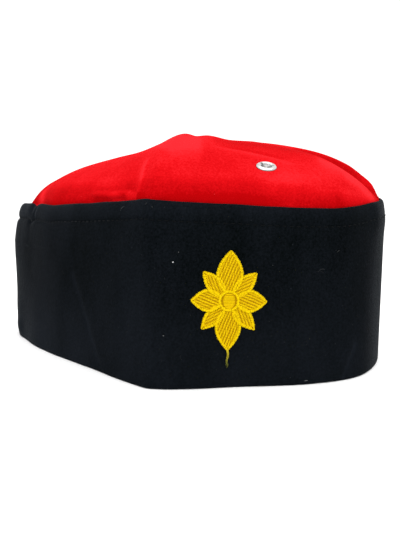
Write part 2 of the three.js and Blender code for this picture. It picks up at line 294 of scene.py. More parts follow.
# %% [markdown]
# Sewing and embroidery thread is two strands twisted together, so fine slanting lines run along it. Its
# strands could be modelled one by one, but there are too many stitches for that. The rods that stand for
# threads carry a UV map instead: the distance along the thread, and the share of the way round it. A
# slanting wave in that map gives the twist, wherever the thread goes.

# %% Thread group
STRANDS = 2
thread_group, given, made = new_group(
    "twisted_thread", {"Along and around": "Vector", "Turns": "Float"}, {"Strand": "Float"})
along, turn, _ = add_node(thread_group, "SeparateXYZ", {0: given.outputs["Along and around"]}).outputs
turned = calculate(thread_group, "MULTIPLY_ADD", along, given.outputs["Turns"], turn)
angle = calculate(thread_group, "MULTIPLY", turned, 2 * np.pi * STRANDS)
wave = calculate(thread_group, "SINE", angle)
thread_group.links.new(remap(thread_group, wave, (-1.0, 1.0)), made.inputs["Strand"])
print(thread_group.name, "puts out", [s.name for s in made.inputs if s.name])

# %% Thread materials
TWIST = 700.0  # turns in a metre
STRAND_LIGHT = (0.55, 1.0)  # between the strands, and on them
STRAND_BUMP = 0.5
STRAND_DEPTH = 0.06 * MM


def thread(name, shadow, dull, bright, **constants):
    """Thread whose colour runs from shadow, between the strands, to a tone of its own between dull and
    bright. The mesh's shade gives the tone."""
    material, tree, shader = new_material(name, **constants)
    laid = add_node(tree, "TexCoord").outputs["UV"]
    strand = add_node(
        tree, "Group", {"Along and around": laid, "Turns": TWIST}, node_tree=thread_group).outputs["Strand"]
    tone = blend(tree, mesh_shade(tree), dull, bright)
    feed(tree, shader,
         Base_Color=blend(tree, remap(tree, strand, (0.0, 1.0), STRAND_LIGHT), shadow, tone),
         Normal=bumped(tree, strand, STRAND_BUMP, STRAND_DEPTH))
    return material


yellow_thread = thread(
    "yellow_thread", shadow=(0.45, 0.25, 0.0), dull=(0.70, 0.455, 0.0), bright=(0.84, 0.63, 0.0),
    Roughness=0.6, Specular_IOR_Level=0.05)
# The underlay's darker colours are painted shade between the stitches.
underlay_thread = thread(
    "underlay_thread", shadow=(0.20, 0.10, 0.0), dull=(0.36, 0.20, 0.0), bright=(0.40, 0.24, 0.0),
    Roughness=0.7, Specular_IOR_Level=0.03)
faded_thread = thread(
    "faded_thread", shadow=(0.08, 0.07, 0.008), dull=(0.13, 0.14, 0.016), bright=(0.66, 0.50, 0.008),
    Roughness=0.6, Specular_IOR_Level=0.15)
black_thread = thread(
    "black_thread", shadow=(0.0018, 0.0022, 0.0026), dull=(0.0028, 0.0036, 0.0042),
    bright=(0.015, 0.0165, 0.018), Roughness=0.7, Specular_IOR_Level=0.05)
print("threads:", yellow_thread.name, underlay_thread.name, faded_thread.name, black_thread.name)

# %% [markdown]
# Nickel plate on a pressed eyelet is bright but not a mirror: fine marks from pressing and handling blur
# what it reflects. An even roughness would look like plastic, so a noise breaks it up, and a small bump
# gives the marks depth. The mesh's shade darkens the plate where dark reflections and a shadow are
# painted on it. Lint is plain: its shade says how pale each fibre is.

# %% Nickel and lint
# The second colour is that of the painted dark reflections and painted shadow on the plate.
NICKEL, PAINTED_DARK = (0.56, 0.55, 0.535), (0.03, 0.03, 0.03)
MARK_SCALE = 700.0
MARK_ROUGHNESS = (0.06, 0.3)
MARK_BUMP = 0.25
MARK_DEPTH = 0.1 * MM
LINT_DARK, LINT_PALE = (0.008, 0.009, 0.010), (0.60, 0.61, 0.62)

nickel, tree, shader = new_material("nickel", Metallic=1.0)
marks = noise(tree, add_node(tree, "TexCoord").outputs["Object"], MARK_SCALE, detail=3.0)
feed(tree, shader,
     Base_Color=blend(tree, mesh_shade(tree), NICKEL, PAINTED_DARK),
     Roughness=remap(tree, marks, (0.0, 1.0), MARK_ROUGHNESS),
     Normal=bumped(tree, marks, MARK_BUMP, MARK_DEPTH))

lint_fibre, tree, shader = new_material("lint_fibre", Roughness=0.9, Specular_IOR_Level=0.2)
feed(tree, shader, Base_Color=blend(tree, mesh_shade(tree), LINT_DARK, LINT_PALE))
print("small finishes:", nickel.name, lint_fibre.name)

# %% [markdown]
# ## The plan of the hat
# Seen from above, the band is a long oval that is pointed at both ends. Its right side has a soft vertical
# fold, so there the plan has a corner. The top edge isn't level: it rises at the fold and dips before
# it. A drawn curve object could hold this. A short table of bends and one formula for a smooth closed
# curve do the same, and every other piece can then ask for a place on the band.


# %% Plan
def closed_spline(knots, steps):
    """A closed centripetal Catmull-Rom curve. Each span is the cubic that joins two knots, with slopes
    weighed from the neighbouring knots by the square roots of their distances."""
    p0, p1, p2, p3 = (np.roll(knots, k, axis=0)[:, None, :] for k in (1, 0, -1, -2))
    gap0, gap1, gap2 = (
        np.sqrt(np.linalg.norm(b - a, axis=2, keepdims=True)) for a, b in ((p0, p1), (p1, p2), (p2, p3)))
    leave = gap1 * ((p1 - p0) / gap0 - (p2 - p0) / (gap0 + gap1) + (p2 - p1) / gap1)
    reach = gap1 * ((p2 - p1) / gap1 - (p3 - p1) / (gap1 + gap2) + (p3 - p2) / gap2)
    t = np.linspace(0, 1, steps, endpoint=False)[None, :, None]
    square = 3 * (p2 - p1) - 2 * leave - reach
    cube = 2 * (p1 - p2) + leave + reach
    return (p1 + leave * t + square * t**2 + cube * t**3).reshape(-1, knots.shape[1])


def lengths_along(curve):
    """The length of a curve from its first point to each of its points."""
    return np.concatenate([[0], np.cumsum(np.linalg.norm(np.diff(curve, axis=0), axis=1))])


def evenly(curve, count):
    """A closed curve at count places that lie equal lengths apart, and its whole length."""
    closed = np.vstack([curve, curve[:1]])
    length = lengths_along(closed)
    places = np.linspace(0, length[-1], count, endpoint=False)
    return np.stack([np.interp(places, length, column) for column in closed.T], axis=1), length[-1]


PLAN_BENDS = np.array([  # x, y and height of the top edge, anticlockwise seen from above
    (2, -115.4, 87.8),  # front tip
    (27, -108, 87.0),
    (48, -88, 86.5),
    (64, -58, 86.0),
    (73.4, -22, 86.0),  # left side
    (73.2, 12, 86.0),
    (63, 48, 86.0),
    (44, 82, 86.0),
    (18, 108.5, 86.6),
    (1, 115.4, 87.0),  # rear tip
    (-9.7, 110.1, 87.0),
    (-20.9, 97.2, 86.8),
    (-39, 69.1, 85.7),
    (-57.6, 31.2, 85.3),
    (-69.6, 4.6, 85.8),
    (-72.5, -2.2, 86.2),
    (-74.1, -6.4, 85.9),  # fold on the right side
    (-73.9, -10.6, 85.5),
    (-72.6, -18.2, 85.2),
    (-62.2, -47, 83.7),
    (-50.8, -78.2, 82.0),
    (-38.8, -96.6, 82.8),
    (-20, -109.6, 85.8),
]) * MM
BEND_STEPS = 120
PLACES = 2880
plan, PLAN_LENGTH = evenly(closed_spline(PLAN_BENDS, BEND_STEPS), PLACES)
SHARES = np.arange(PLACES) / PLACES
heading = np.roll(plan, -1, axis=0) - np.roll(plan, 1, axis=0)
inward = np.stack([-heading[:, 1], heading[:, 0]], axis=1)
inward /= np.linalg.norm(inward, axis=1, keepdims=True)
print("the band is", round(PLAN_LENGTH / MM), "mm round")

# %% [markdown]
# Stiffened cloth is never quite even. A few slow waves round the band, creases where it was pressed and
# broad bulges where it was worn keep its wall and its top edge from looking machined. They could be
# sculpted by hand. Here each is a row of a table, and whatever sits on the wall uses the same rows, so it
# stays on the cloth. A sharp crease also brushes the pile, so it has a change of tone too.

# %% Waves and creases of the wall
WALL_WAVES = np.array([  # waves round the band, turns of phase per metre of height, phase, depth in mm
    (5, 3.1, 0.2, 0.22),
    (9, -4.3, 1.7, 0.16),
    (14, 6.2, 4.0, 0.10),
    (23, -9.0, 2.6, 0.06),
])
EDGE_WAVES = np.array([(7, 0.6, 0.1), (17, 2.2, 0.08), (31, 4.4, 0.05)])  # waves, phase, height in mm
EDGE_DIPS = np.array([(-27.6, 87.6, 1.7, 3.6), (-40, 66, 0.9, 17.0)]) * MM  # x, y, depth and half width
WALL_CREASES = np.array([  # from x, y, z to x, y, z, then depth, half width and change of tone
    (-51.6, 44, 48, -60.5, 25, 5, 0.3, 1.6, 0.3),
    (-36.8, -98.8, 17, -41.7, -93.2, 1.5, 0.3, 1.2, 0.6),
    (-41, -94, 40, -46, -86, 20, -0.3, 6, 0),
    (-68, 8, 60, -66, 12, 30, -0.3, 7, 0),
    (-30.8, 82.4, 88, -29.6, 84.2, 79, 0.6, 1.4, 0),  # notch in the rim
    (-14, 105, 80, 6, 113, 80, 1.0, 26, 0),  # rear end: pressed in above, full below
    (-14, 105, 60, 4, 114, 60, -0.6, 13, 0),
    (-14, 105, 18, 4, 114, 18, -0.6, 9, 0),
    (-14, 105, 7, 4, 114, 7, -1.0, 5, 0),
    (-20, -110, 78, 14, -113, 78, -1.0, 7, 0),  # front end: full under the rim
    (-72, -16, 2, -34, -100, 2, -1.1, 24, 0),  # right side: the hem stands out
    (-67, 10, 2, -34, 76, 2, -0.8, 20, 0),
]) * [*[MM] * 8, 1]
CREASE_START, CREASE_REACH = WALL_CREASES[:, :3], WALL_CREASES[:, 3:6] - WALL_CREASES[:, :3]
CREASE_DEPTH, CREASE_HALF, CREASE_TONE = WALL_CREASES[:, 6:].T


def around(values, share):
    """A value given at each place of the plan, at shares of the way round."""
    return np.interp(share, SHARES, values, period=1)


def off_plan(share, deep, z):
    """Points at shares of the way round the plan, at a depth towards the inside and a height."""
    return np.stack([
        around(plan[:, 0], share) + deep * around(inward[:, 0], share),
        around(plan[:, 1], share) + deep * around(inward[:, 1], share),
        z], axis=-1)


def from_line(points, start, reach):
    """The share of a straight line where each point is nearest to it, and the way from there to the point:
    share = (point - start) . reach / reach . reach, held between 0 and 1."""
    share = np.clip((points - start) @ reach / (reach @ reach), 0, 1)
    return share, points - start - share[..., None] * reach


def creased(points, amounts):
    """The sum over all creases of amount * exp(-(distance from its line / half width) ** 2)."""
    total = 0
    for start, reach, half, amount in zip(CREASE_START, CREASE_REACH, CREASE_HALF, amounts):
        away = np.linalg.norm(from_line(points, start, reach)[1], axis=-1)
        total = total + amount * np.exp(-((away / half) ** 2))
    return total


def wall_depth(share, z):
    """How far the wall is pressed into the hat: the sum of the slow waves, and of a bell-shaped dent or
    bulge along each crease."""
    turn = 2 * np.pi * share
    depth = sum(
        d * MM * np.sin(n * turn + 2 * np.pi * lift * z + phase) for n, lift, phase, d in WALL_WAVES)
    wall = np.stack([around(plan[:, 0], share), around(plan[:, 1], share), z], axis=-1)
    return depth + creased(wall, CREASE_DEPTH)


plan[:, 2] += sum(h * MM * np.sin(n * 2 * np.pi * SHARES + phase) for n, phase, h in EDGE_WAVES)
plan[:, 2] -= sum(
    h * np.exp(-((plan[:, 0] - x) ** 2 + (plan[:, 1] - y) ** 2) / half**2) for x, y, h, half in EDGE_DIPS)
print("top edge from", round(plan[:, 2].min() / MM, 1), "to", round(plan[:, 2].max() / MM, 1), "mm")

# %% [markdown]
# ## Side band
# The band is velvet over a stiff core, folded at the bottom and rolled over at the top. A row of
# stitching pulls a groove into it just under the top edge, so the rim above stands out as a soft roll.
# It could be extruded and bevelled. Carrying one closed section round the plan gives the roll, the groove
# and the fold at the hem in one surface. The section is a table: share of the edge's height, rise from
# there, share of the wall's lean, inset from the plan, and how far the stitching pulls the cloth in. The
# stitching is tight at the rear and slack at the front. Towards the rear, rim and hem are a little paler,
# which is painted light in the mesh's shade.

# %% Section of the band
FRONT_LEAN = 0.8 * MM
REAR_LEAN = 3.6 * MM
RIM = 8.4
BAND_WALL = 2.6
GROOVE_LEAN = 0.55
GROOVE_PULL = 1.05
BAND_SECTION = np.array([
    (0, 0.0, 0, 1.3, 0),  # bottom edge
    (0, 0.12, 0, 0.6, 0),
    (0, 0.5, 0, 0.18, 0),
    (0, 1.3, 0, 0.0, 0),  # hem
    (0, 6, 0, 0, 0),
    *[(share, 0, 0, 0, 0) for share in np.linspace(0.14, 0.7, 8)],  # wall
    (1, -2.3 * RIM, 0.02, 0, 0),  # shoulder
    (1, -1.6 * RIM, 0.2, 0, 0),
    (1, -RIM - 1.8, 0.4, 0, -0.05),
    (1, -RIM - 0.8, 0.48, 0, 0.35),
    (1, -RIM, GROOVE_LEAN, 0, GROOVE_PULL),  # groove
    (1, -RIM + 0.8, 0.62, 0, 0.35),
    (1, -RIM + 1.9, 0.72, 0, -0.3),
    (1, -4.8, 0.88, 0, -0.7),  # roll of the rim
    (1, -2.6, 1, 0.05, -0.3),
    (1, -1.0, 1.06, 0.35, 0.35),
    (1, -0.2, 1.1, 0.8, 0.9),
    (1, 0.0, 1.1, 1.15, 1.2),  # top edge
    (1, -0.4, 1.1, 1.6, 1.4),
    (1, -1.2, 1.1, 1.8, 1.4),
    (1, -3.5, 0.9, 2.0, 1.1),
    (1, -RIM - 2.8, 0.4, BAND_WALL, 0),  # seam inside
    (0.5, 0, 0, BAND_WALL, 0),
    (0, 6, 0, BAND_WALL, 0),
    (0, 1.3, 0, BAND_WALL, 0),
    (0, 0.4, 0, BAND_WALL - 0.2, 0),
    (0, 0.1, 0, BAND_WALL - 0.7, 0),
]) * (1, MM, 1, MM, MM)
PULL = np.array([(-115, 0.05), (-85, 0.3), (-30, 0.6), (20, 0.9), (80, 0.9), (116, 0.8)]) * (MM, 1)
RIM_GROWTH = np.array([(-115, 1.0), (-20, 1.05), (40, 1.12), (116, 1.14)]) * (MM, 1)


def on_band(share, height_share, rise, lean, inset, pull=0.0):
    """Points of the band's section at shares of the way round it. The wall's lean and the stitching's
    pull grow from front to rear, and the waves and creases press the whole section in."""
    share, height_share, rise, lean, inset, pull = np.broadcast_arrays(
        share, height_share, rise, lean, inset, pull)
    y = around(plan[:, 1], share)
    growth = np.interp(y, *RIM_GROWTH.T) - 1
    z = height_share * around(plan[:, 2], share) + rise * (1 + growth * height_share)
    wall_lean = np.interp(y, (plan[:, 1].min(), plan[:, 1].max()), (FRONT_LEAN, REAR_LEAN))
    tight = np.interp(y, *PULL.T)
    return off_plan(share, inset + lean * wall_lean + pull * tight + wall_depth(share, z), z)


print("the section has", len(BAND_SECTION), "rows")

# %% Side band
BAND_STATIONS = 720
SECTION_STEPS = 4
SECTION_SCALE = np.array([CAD_HIGH.z, 1, REAR_LEAN, 1, 1])  # turns shares into lengths for the spline
REAR_PAINTED_LIGHT = 0.27
REAR_LIGHT_FROM, REAR_LIGHT_LENGTH = 20 * MM, 50 * MM  # along y, until the painted light is full
REAR_LIGHT_MIDDLE, REAR_LIGHT_HALF = 45 * MM, 40 * MM  # of the height: where there is no painted light, and how far from there it grows to full

section = closed_spline(BAND_SECTION * SECTION_SCALE, SECTION_STEPS) / SECTION_SCALE
band_points = on_band(np.arange(BAND_STATIONS) / BAND_STATIONS, *section.T[:, :, None])
band_points[..., 2] = np.maximum(band_points[..., 2], 0)
# Painted light: rim and hem are paler towards the rear.
rear_share = np.clip((band_points[..., 1] - REAR_LIGHT_FROM) / REAR_LIGHT_LENGTH, 0, 1)
rear_painted_light = REAR_PAINTED_LIGHT * rear_share * ((band_points[..., 2] - REAR_LIGHT_MIDDLE) / REAR_LIGHT_HALF) ** 2
band_shade = rear_painted_light + creased(band_points, CREASE_TONE)
band_faces = grid_faces(len(section), BAND_STATIONS, close_rows=True).reshape(-1, 4)
band = add_piece("velvet_band", band_points, band_faces, black_velvet, shade=band_shade)
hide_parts("side_band")

# %% [markdown]
# The stitching lies in the groove: even stitches of black thread with small steps between them. A curve
# with a bevel could make each one, but stitches are many, short and alike, so all of them are made as one
# array of bent rods. They are laid out on flat cloth, with the third number as the height over it, and
# then wrapped onto the band. The same rods make the embroidery later on.

# %% Rods
OFF_CLOTH = np.array([0.0, 0.0, 1.0])
END_TAPER = 0.5
ROD_FLATNESS = 0.85


def rods(paths, side, half_width, half_height, corners=6):
    """Points, faces and UVs of many closed rods over flat cloth. At each step of a path there is a ring of
    corners: path + half_width * cos(angle) * side + half_height * sin(angle) * the way off the cloth."""
    count, steps = paths.shape[:2]
    side = np.broadcast_to(side, paths.shape)
    angle = np.linspace(0, 2 * np.pi, corners, endpoint=False)
    wide = np.broadcast_to(half_width, (count, steps))[..., None, None] * np.cos(angle)[:, None]
    high = np.broadcast_to(half_height, (count, steps))[..., None, None] * np.sin(angle)[:, None]
    points = paths[:, :, None, :] + wide * side[:, :, None, :] + high * OFF_CLOTH
    index = np.arange(points.size // 3).reshape(count, steps, corners)
    following = np.roll(index, -1, axis=2)
    quads = np.stack([index[:, :-1], following[:, :-1], following[:, 1:], index[:, 1:]], axis=-1)
    faces = quads.reshape(-1, 4).tolist() + index[:, 0, ::-1].tolist() + index[:, -1].tolist()
    lengths = np.linalg.norm(np.diff(paths, axis=1), axis=2)
    along = np.concatenate([np.zeros((count, 1)), np.cumsum(lengths, axis=1)], axis=1)[:, :, None]
    turn = np.arange(corners + 1) / corners
    spread = np.stack(np.broadcast_arrays(along, turn), axis=-1)
    uv = np.stack([spread[:, :-1, :-1], spread[:, :-1, 1:], spread[:, 1:, 1:], spread[:, 1:, :-1]], axis=3)
    ends = np.repeat(spread[:, [0, -1], 0].swapaxes(0, 1).reshape(-1, 2), corners, axis=0)
    return points, faces, np.concatenate([uv.reshape(-1, 2), ends])


def arch(start, end, lift, sink, steps):
    """Straight paths from start to end, arched: height = sink + (lift - sink) * (1 - (2t - 1) ** 4).
    start and end are pairs on the flat cloth, and the paths have the height as third number."""
    t = np.linspace(0, 1, steps)[None, :]
    flat = start[:, None, :] + (end - start)[:, None, :] * t[..., None]
    height = np.reshape(sink, (-1, 1)) + np.reshape(lift - sink, (-1, 1)) * (1 - (2 * t - 1) ** 4)
    return np.concatenate([flat, np.broadcast_to(height, flat.shape[:2])[..., None]], axis=2)


def flat_rods(start, end, lift, sink, radius, steps=6, corners=6):
    """Arched rods over flat cloth, thinner at their ends: radius * (1 - taper * (2t - 1) ** 6)."""
    run = (end - start) / np.linalg.norm(end - start, axis=1, keepdims=True)
    side = np.stack([-run[:, 1], run[:, 0], 0 * run[:, 0]], axis=1)[:, None, :]
    thick = np.reshape(radius, (-1, 1)) * (1 - END_TAPER * np.linspace(-1, 1, steps) ** 6)
    return rods(arch(start, end, lift, sink, steps), side, thick, ROD_FLATNESS * thick, corners)


def for_rods(values, points):
    """A value of each rod, given to all its points."""
    return np.broadcast_to(values[:, None, None], points.shape[:3])


# %% Stitching of the rim
STITCH = 2.7 * MM
STITCH_STEP = 3.3 * MM
STITCH_RADIUS = 0.24 * MM
STITCH_LIFT, STITCH_SINK = 0.1 * MM, -0.4 * MM
PALER_ALONG_Y, PALENESS_SPAN = (0.0, 40 * MM), (0.05, 1.0)  # stitches are paler towards the rear

stitch_count = int(PLAN_LENGTH / STITCH_STEP)
first = np.stack([np.arange(stitch_count) * PLAN_LENGTH / stitch_count, np.zeros(stitch_count)], axis=1)
points, faces, uv = flat_rods(first, first + (STITCH, 0), STITCH_LIFT, STITCH_SINK, STITCH_RADIUS)
stitch_points = on_band(
    points[..., 0] / PLAN_LENGTH, 1, points[..., 1] - RIM * MM, GROOVE_LEAN, -points[..., 2],
    GROOVE_PULL * MM)
rng = np.random.default_rng(7)
stitch_paleness = np.interp(around(plan[:, 1], first[:, 0] / PLAN_LENGTH), PALER_ALONG_Y, PALENESS_SPAN) * rng.random(stitch_count)
add_piece("rim_stitches", stitch_points, faces, black_thread, uv, for_rods(stitch_paleness, points))

# %% [markdown]
# ## Crown
# The crown is one piece of red velvet, cut as a pointed oval and gathered into the seam inside the rim. It
# was pressed flat for storage, so it has a sharp cross fold from the band's fold up to the peak. In the
# middle one slope falls to either side, and at the front end there are two crests with a short gutter
# between them. It could be draped by a simulation, but then its folds would fall anywhere. Here a table
# gives the crests and the gutter at stations from front to rear, and a formula gives the slopes down to
# the rim.

# %% Height of the crown
RIDGE_PLACE = 0.04
RIDGE = [  # y and height where the crown has only one crest
    (-12, 124.6), (-5, 126.2), (6, 122.2), (20, 117.8), (36, 115.2), (60, 110.6), (80, 104.4), (90, 100.2),
    (96, 96.2), (100, 91.6), (103, 87.0), (106, 85.4), (110, 85.0),
]
CROWN_ROWS = np.array([  # y, right crest's place and height, gutter's depth, left crest's place and height
    (-112, 0.3, 87.0, 0.0, 0.3, 89.4),
    (-109, 0.3, 89.4, 1.2, 0.28, 96.0),
    (-104, 0.28, 94.4, 2.4, 0.26, 101.2),
    (-96, 0.26, 100.6, 3.0, 0.24, 107.6),
    (-82, 0.2, 109.2, 2.4, 0.22, 114.4),
    (-64, 0.02, 116.4, 0.6, 0.2, 119.4),
    (-44, -0.12, 122.2, 0.0, 0.18, 122.8),
    (-29, -0.08, 123.4, 0.0, 0.14, 123.5),
    (-19, 0.0, 125.2, 0.0, 0.08, 125.6),
    *[(y, RIDGE_PLACE, height, 0.0, RIDGE_PLACE, height) for y, height in RIDGE],
]) * (MM, 1, MM, MM, 1, MM)
FULLNESS = np.array([(-60, 1.5), (-10, 1.55), (30, 1.75)]) * (MM, 1)
GATHER_START = 66 * MM
GATHER_LENGTH = 42 * MM
GATHER_DROP = 0.9
NARROWEST = 0.5 * MM
SKIRT = np.array([1, (-RIM - 1.4) * MM, 0.4, (BAND_WALL + 0.45) * MM, 0])  # in the form of a section row
FOOT = np.array([1, -0.9 * MM, 1.1, 2.1 * MM, 1.4 * MM])

foot_line = on_band(SHARES, *FOOT)
foot_line = np.roll(foot_line, -np.argmin(foot_line[:, 1]), axis=0)
rearmost = np.argmax(foot_line[:, 1])
left_foot = foot_line[:rearmost + 1]
right_foot = np.vstack([foot_line[rearmost:], foot_line[:1]])[::-1]


def through_rows(column, y):
    """A column of the crown's table at any y: between two rows, the cubic that has their mean slopes."""
    at, value = CROWN_ROWS[:, 0], CROWN_ROWS[:, column]
    rows = np.arange(len(at))
    before, after = np.maximum(rows - 1, 0), np.minimum(rows + 1, len(at) - 1)
    slope = (value[after] - value[before]) / (at[after] - at[before])
    k = np.clip(np.searchsorted(at, y, side="right") - 1, 0, len(at) - 2)
    span = at[k + 1] - at[k]
    t = np.clip((y - at[k]) / span, 0, 1)
    rise, leave, reach = value[k + 1] - value[k], slope[k] * span, slope[k + 1] * span
    return value[k] + t * (leave + t * (3 * rise - 2 * leave - reach + t * (leave + reach - 2 * rise)))


def crown_height(x, y):
    """Height of the crown over a place. From the right crest to the left one it is an S-curve less
    gutter * sin(pi * t) ** 2. Outside the crests it falls to the rim as (1 - away ** p) ** (1 / p), which
    is upright at the rim. At the rear end the cloth is gathered, so there it falls sooner."""
    right_x, right_z = (np.interp(y, right_foot[:, 1], right_foot[:, k]) for k in (0, 2))
    left_x, left_z = (np.interp(y, left_foot[:, 1], left_foot[:, k]) for k in (0, 2))
    across = (x - (left_x + right_x) / 2) / np.maximum((left_x - right_x) / 2, NARROWEST)
    right, crest_right, gutter, left, crest_left = (through_rows(k, y) for k in range(1, 6))
    t = np.clip((across + right) / (left + right), 0, 1)
    top = crest_right + (crest_left - crest_right) * t**2 * (3 - 2 * t) - gutter * np.sin(np.pi * t) ** 2
    crest, foot_z = np.where(t < 0.5, right, left), np.where(t < 0.5, right_z, left_z)
    gather = 1 + GATHER_DROP * np.clip((y - GATHER_START) / GATHER_LENGTH, 0, 1) ** 2
    away = np.clip(gather * (np.where(t < 0.5, -across, across) - crest) / (1 - crest), 0, 1)
    p = np.interp(y, *FULLNESS.T)
    return foot_z + (top - foot_z) * (1 - away**p) ** (1 / p)


print("the crown's highest place is", round(CROWN_ROWS[:, 5].max() / MM, 1), "mm above the table")

# %% [markdown]
# The cloth's smaller folds come next. They could be sculpted, but then nothing would say where they are.
# Here each is a short path over the crown with a height and a width to either side, and it lifts the cloth
# along its own normal. A narrow side and a wide side make a fold that leans over, as pressed velvet does.
# The grid's stations crowd together at the cross fold, which is the sharpest.

# %% Folds of the crown
CROWN_FOLDS = [  # path over the plan in mm, height, width towards its left and its right
    ([(-66, -0.6), (-62.2, 0), (-59.5, 0), (-55.2, 0.6), (-50.2, 1.2), (-46, 0.8)], 0.6, 2.4, 0.6),
    ([(-66, -2), (-62, -1.4), (-59, -1.4), (-54.5, -0.8), (-49, -0.2)], -0.4, 0.7, 6.0),
    ([(-48, 34), (-50.9, 29.2), (-56.8, 17.2), (-61.2, 7)], 1.3, 2.2, 0.8),
    ([(-48.8, 34.4), (-51.6, 29.5), (-57.5, 17.5), (-62, 7.3)], -0.5, 0.6, 0.9),
    ([(-24, 79), (-21.4, 77.8), (-16.3, 78.1), (-10, 80)], 0.6, 1.6, 0.7),
    ([(-65.5, -25.5), (-62.5, -24.7), (-55.2, -22.6), (-49, -21)], 0.5, 3.0, 1.8),
    ([(-62.5, -34.3), (-58.8, -33.1), (-50.6, -31.1), (-44, -29.5)], 0.5, 3.0, 1.8),
    ([(-57, -46), (-51, -44.4), (-45, -43)], 0.4, 3.2, 2.0),
    ([(-68, -13), (-62, -12.4), (-54, -12)], 0.4, 3.4, 2.0),
    ([(-27, -26), (-27.5, -32.7), (-27.4, -41.1), (-28.6, -49.5), (-29.4, -58.6), (-30.6, -67.1), (-32, -74)],
     0.4, 1.2, 1.8),
    ([(-33, -32), (-32.6, -35.3), (-31.9, -46.4), (-32.3, -52.5), (-33, -58)], 0.3, 1.0, 1.2),
    ([(-24, -34), (-24.4, -44), (-25.5, -54), (-27, -62)], -0.4, 1.4, 1.4),
    ([(-46, -74), (-38, -86), (-28, -97)], 0.35, 3.5, 3.5),
    ([(20, -108), (34, -92), (46, -72)], 0.5, 3.0, 4.0),
    ([(68, -6), (58, -4), (46, -5), (34, -5)], 0.7, 0.9, 2.6),
    ([(55, 30), (44, 36), (30, 38)], 0.5, 3.2, 4.2),
    ([(40, 66), (30, 70), (18, 72)], -0.4, 3.2, 4.2),
]


def fold_lift(points, path, height, left_width, right_width):
    """How far one fold lifts each point: height * exp(-(distance / width) ** 2), where the width is one
    of two by the side of the path, fading out at the path's ends."""
    route = np.array(path, float) * MM
    route = np.column_stack([route, crown_height(route[:, 0], route[:, 1])])
    steps = np.diff(route, axis=0)
    lengths = np.linalg.norm(steps, axis=1)
    best, lift = np.full(points.shape[:-1], np.inf), np.zeros(points.shape[:-1])
    for k, (start, step) in enumerate(zip(route[:-1], steps)):
        t, gone = from_line(points, start, step)
        away = np.linalg.norm(gone, axis=-1)
        on_left = step[0] * gone[..., 1] - step[1] * gone[..., 0] > 0
        share = (lengths[:k].sum() + t * lengths[k]) / lengths.sum()
        bell = np.exp(-((away / (np.where(on_left, left_width, right_width) * MM)) ** 2))
        nearer = away < best
        lift = np.where(nearer, height * MM * bell * (1 - (2 * share - 1) ** 4), lift)
        best = np.minimum(best, away)
    return lift


def grid_normals(points):
    """Unit normals of a grid that closes along its rows, from the points on either side."""
    along = np.roll(points, -1, axis=1) - np.roll(points, 1, axis=1)
    across = np.gradient(points, axis=0)
    normal = np.cross(along, across)
    return normal / np.linalg.norm(normal, axis=-1, keepdims=True)


print(len(CROWN_FOLDS), "folds")

# %% Crown surface
CROWN_STATIONS = 480
CROWDING = 2.0
CROWDED = 0.03
SKIRT_RINGS = 5
CROWN_RINGS = 88
CROWN_WALL = 1.8 * MM
FREE_HEIGHT = 2 * MM  # over the rim, where folds reach their full height

fold_share = SHARES[np.argmin(plan[:, 0])]
crowd = 1 + CROWDING * np.exp(-(((SHARES - fold_share + 0.5) % 1 - 0.5) / CROWDED) ** 2)
crowd = np.concatenate([[0], np.cumsum(crowd)]) / crowd.sum()
crown_turns = np.interp(np.arange(CROWN_STATIONS) / CROWN_STATIONS, crowd, np.append(SHARES, 1))
skirt_rows = np.linspace(SKIRT, FOOT, SKIRT_RINGS)
skirt_points = on_band(crown_turns, *skirt_rows.T[:, :, None])
shrink = np.cos(np.pi / 2 * np.arange(1, CROWN_RINGS) / CROWN_RINGS)[:, None, None]
dome = skirt_points[-1][None] * shrink
dome[..., 2] = crown_height(dome[..., 0], dome[..., 1])
crown_outer = np.concatenate([skirt_points, dome])
crown_normals = grid_normals(crown_outer)
lifted = sum(fold_lift(crown_outer, *fold) for fold in CROWN_FOLDS)
lifted *= np.clip((crown_outer[..., 2] - skirt_points[-1][..., 2]) / FREE_HEIGHT, 0, 1)
crown_outer = crown_outer + lifted[..., None] * crown_normals
crown_inner = crown_outer - CROWN_WALL * crown_normals
print("folds lift the cloth by", round(lifted.min() / MM, 2), "to", round(lifted.max() / MM, 2), "mm")

# %% [markdown]
# Light and shade are also painted into the crown's tone: painted highlights along the folds, at the peak
# and on the near crest, and painted shade in the gutter, in the folds' hollows and on the slope in front
# of the peak. A painted mask could say where. Strokes in the form of the folds do it with the same
# function, and their sum is each point's shade.

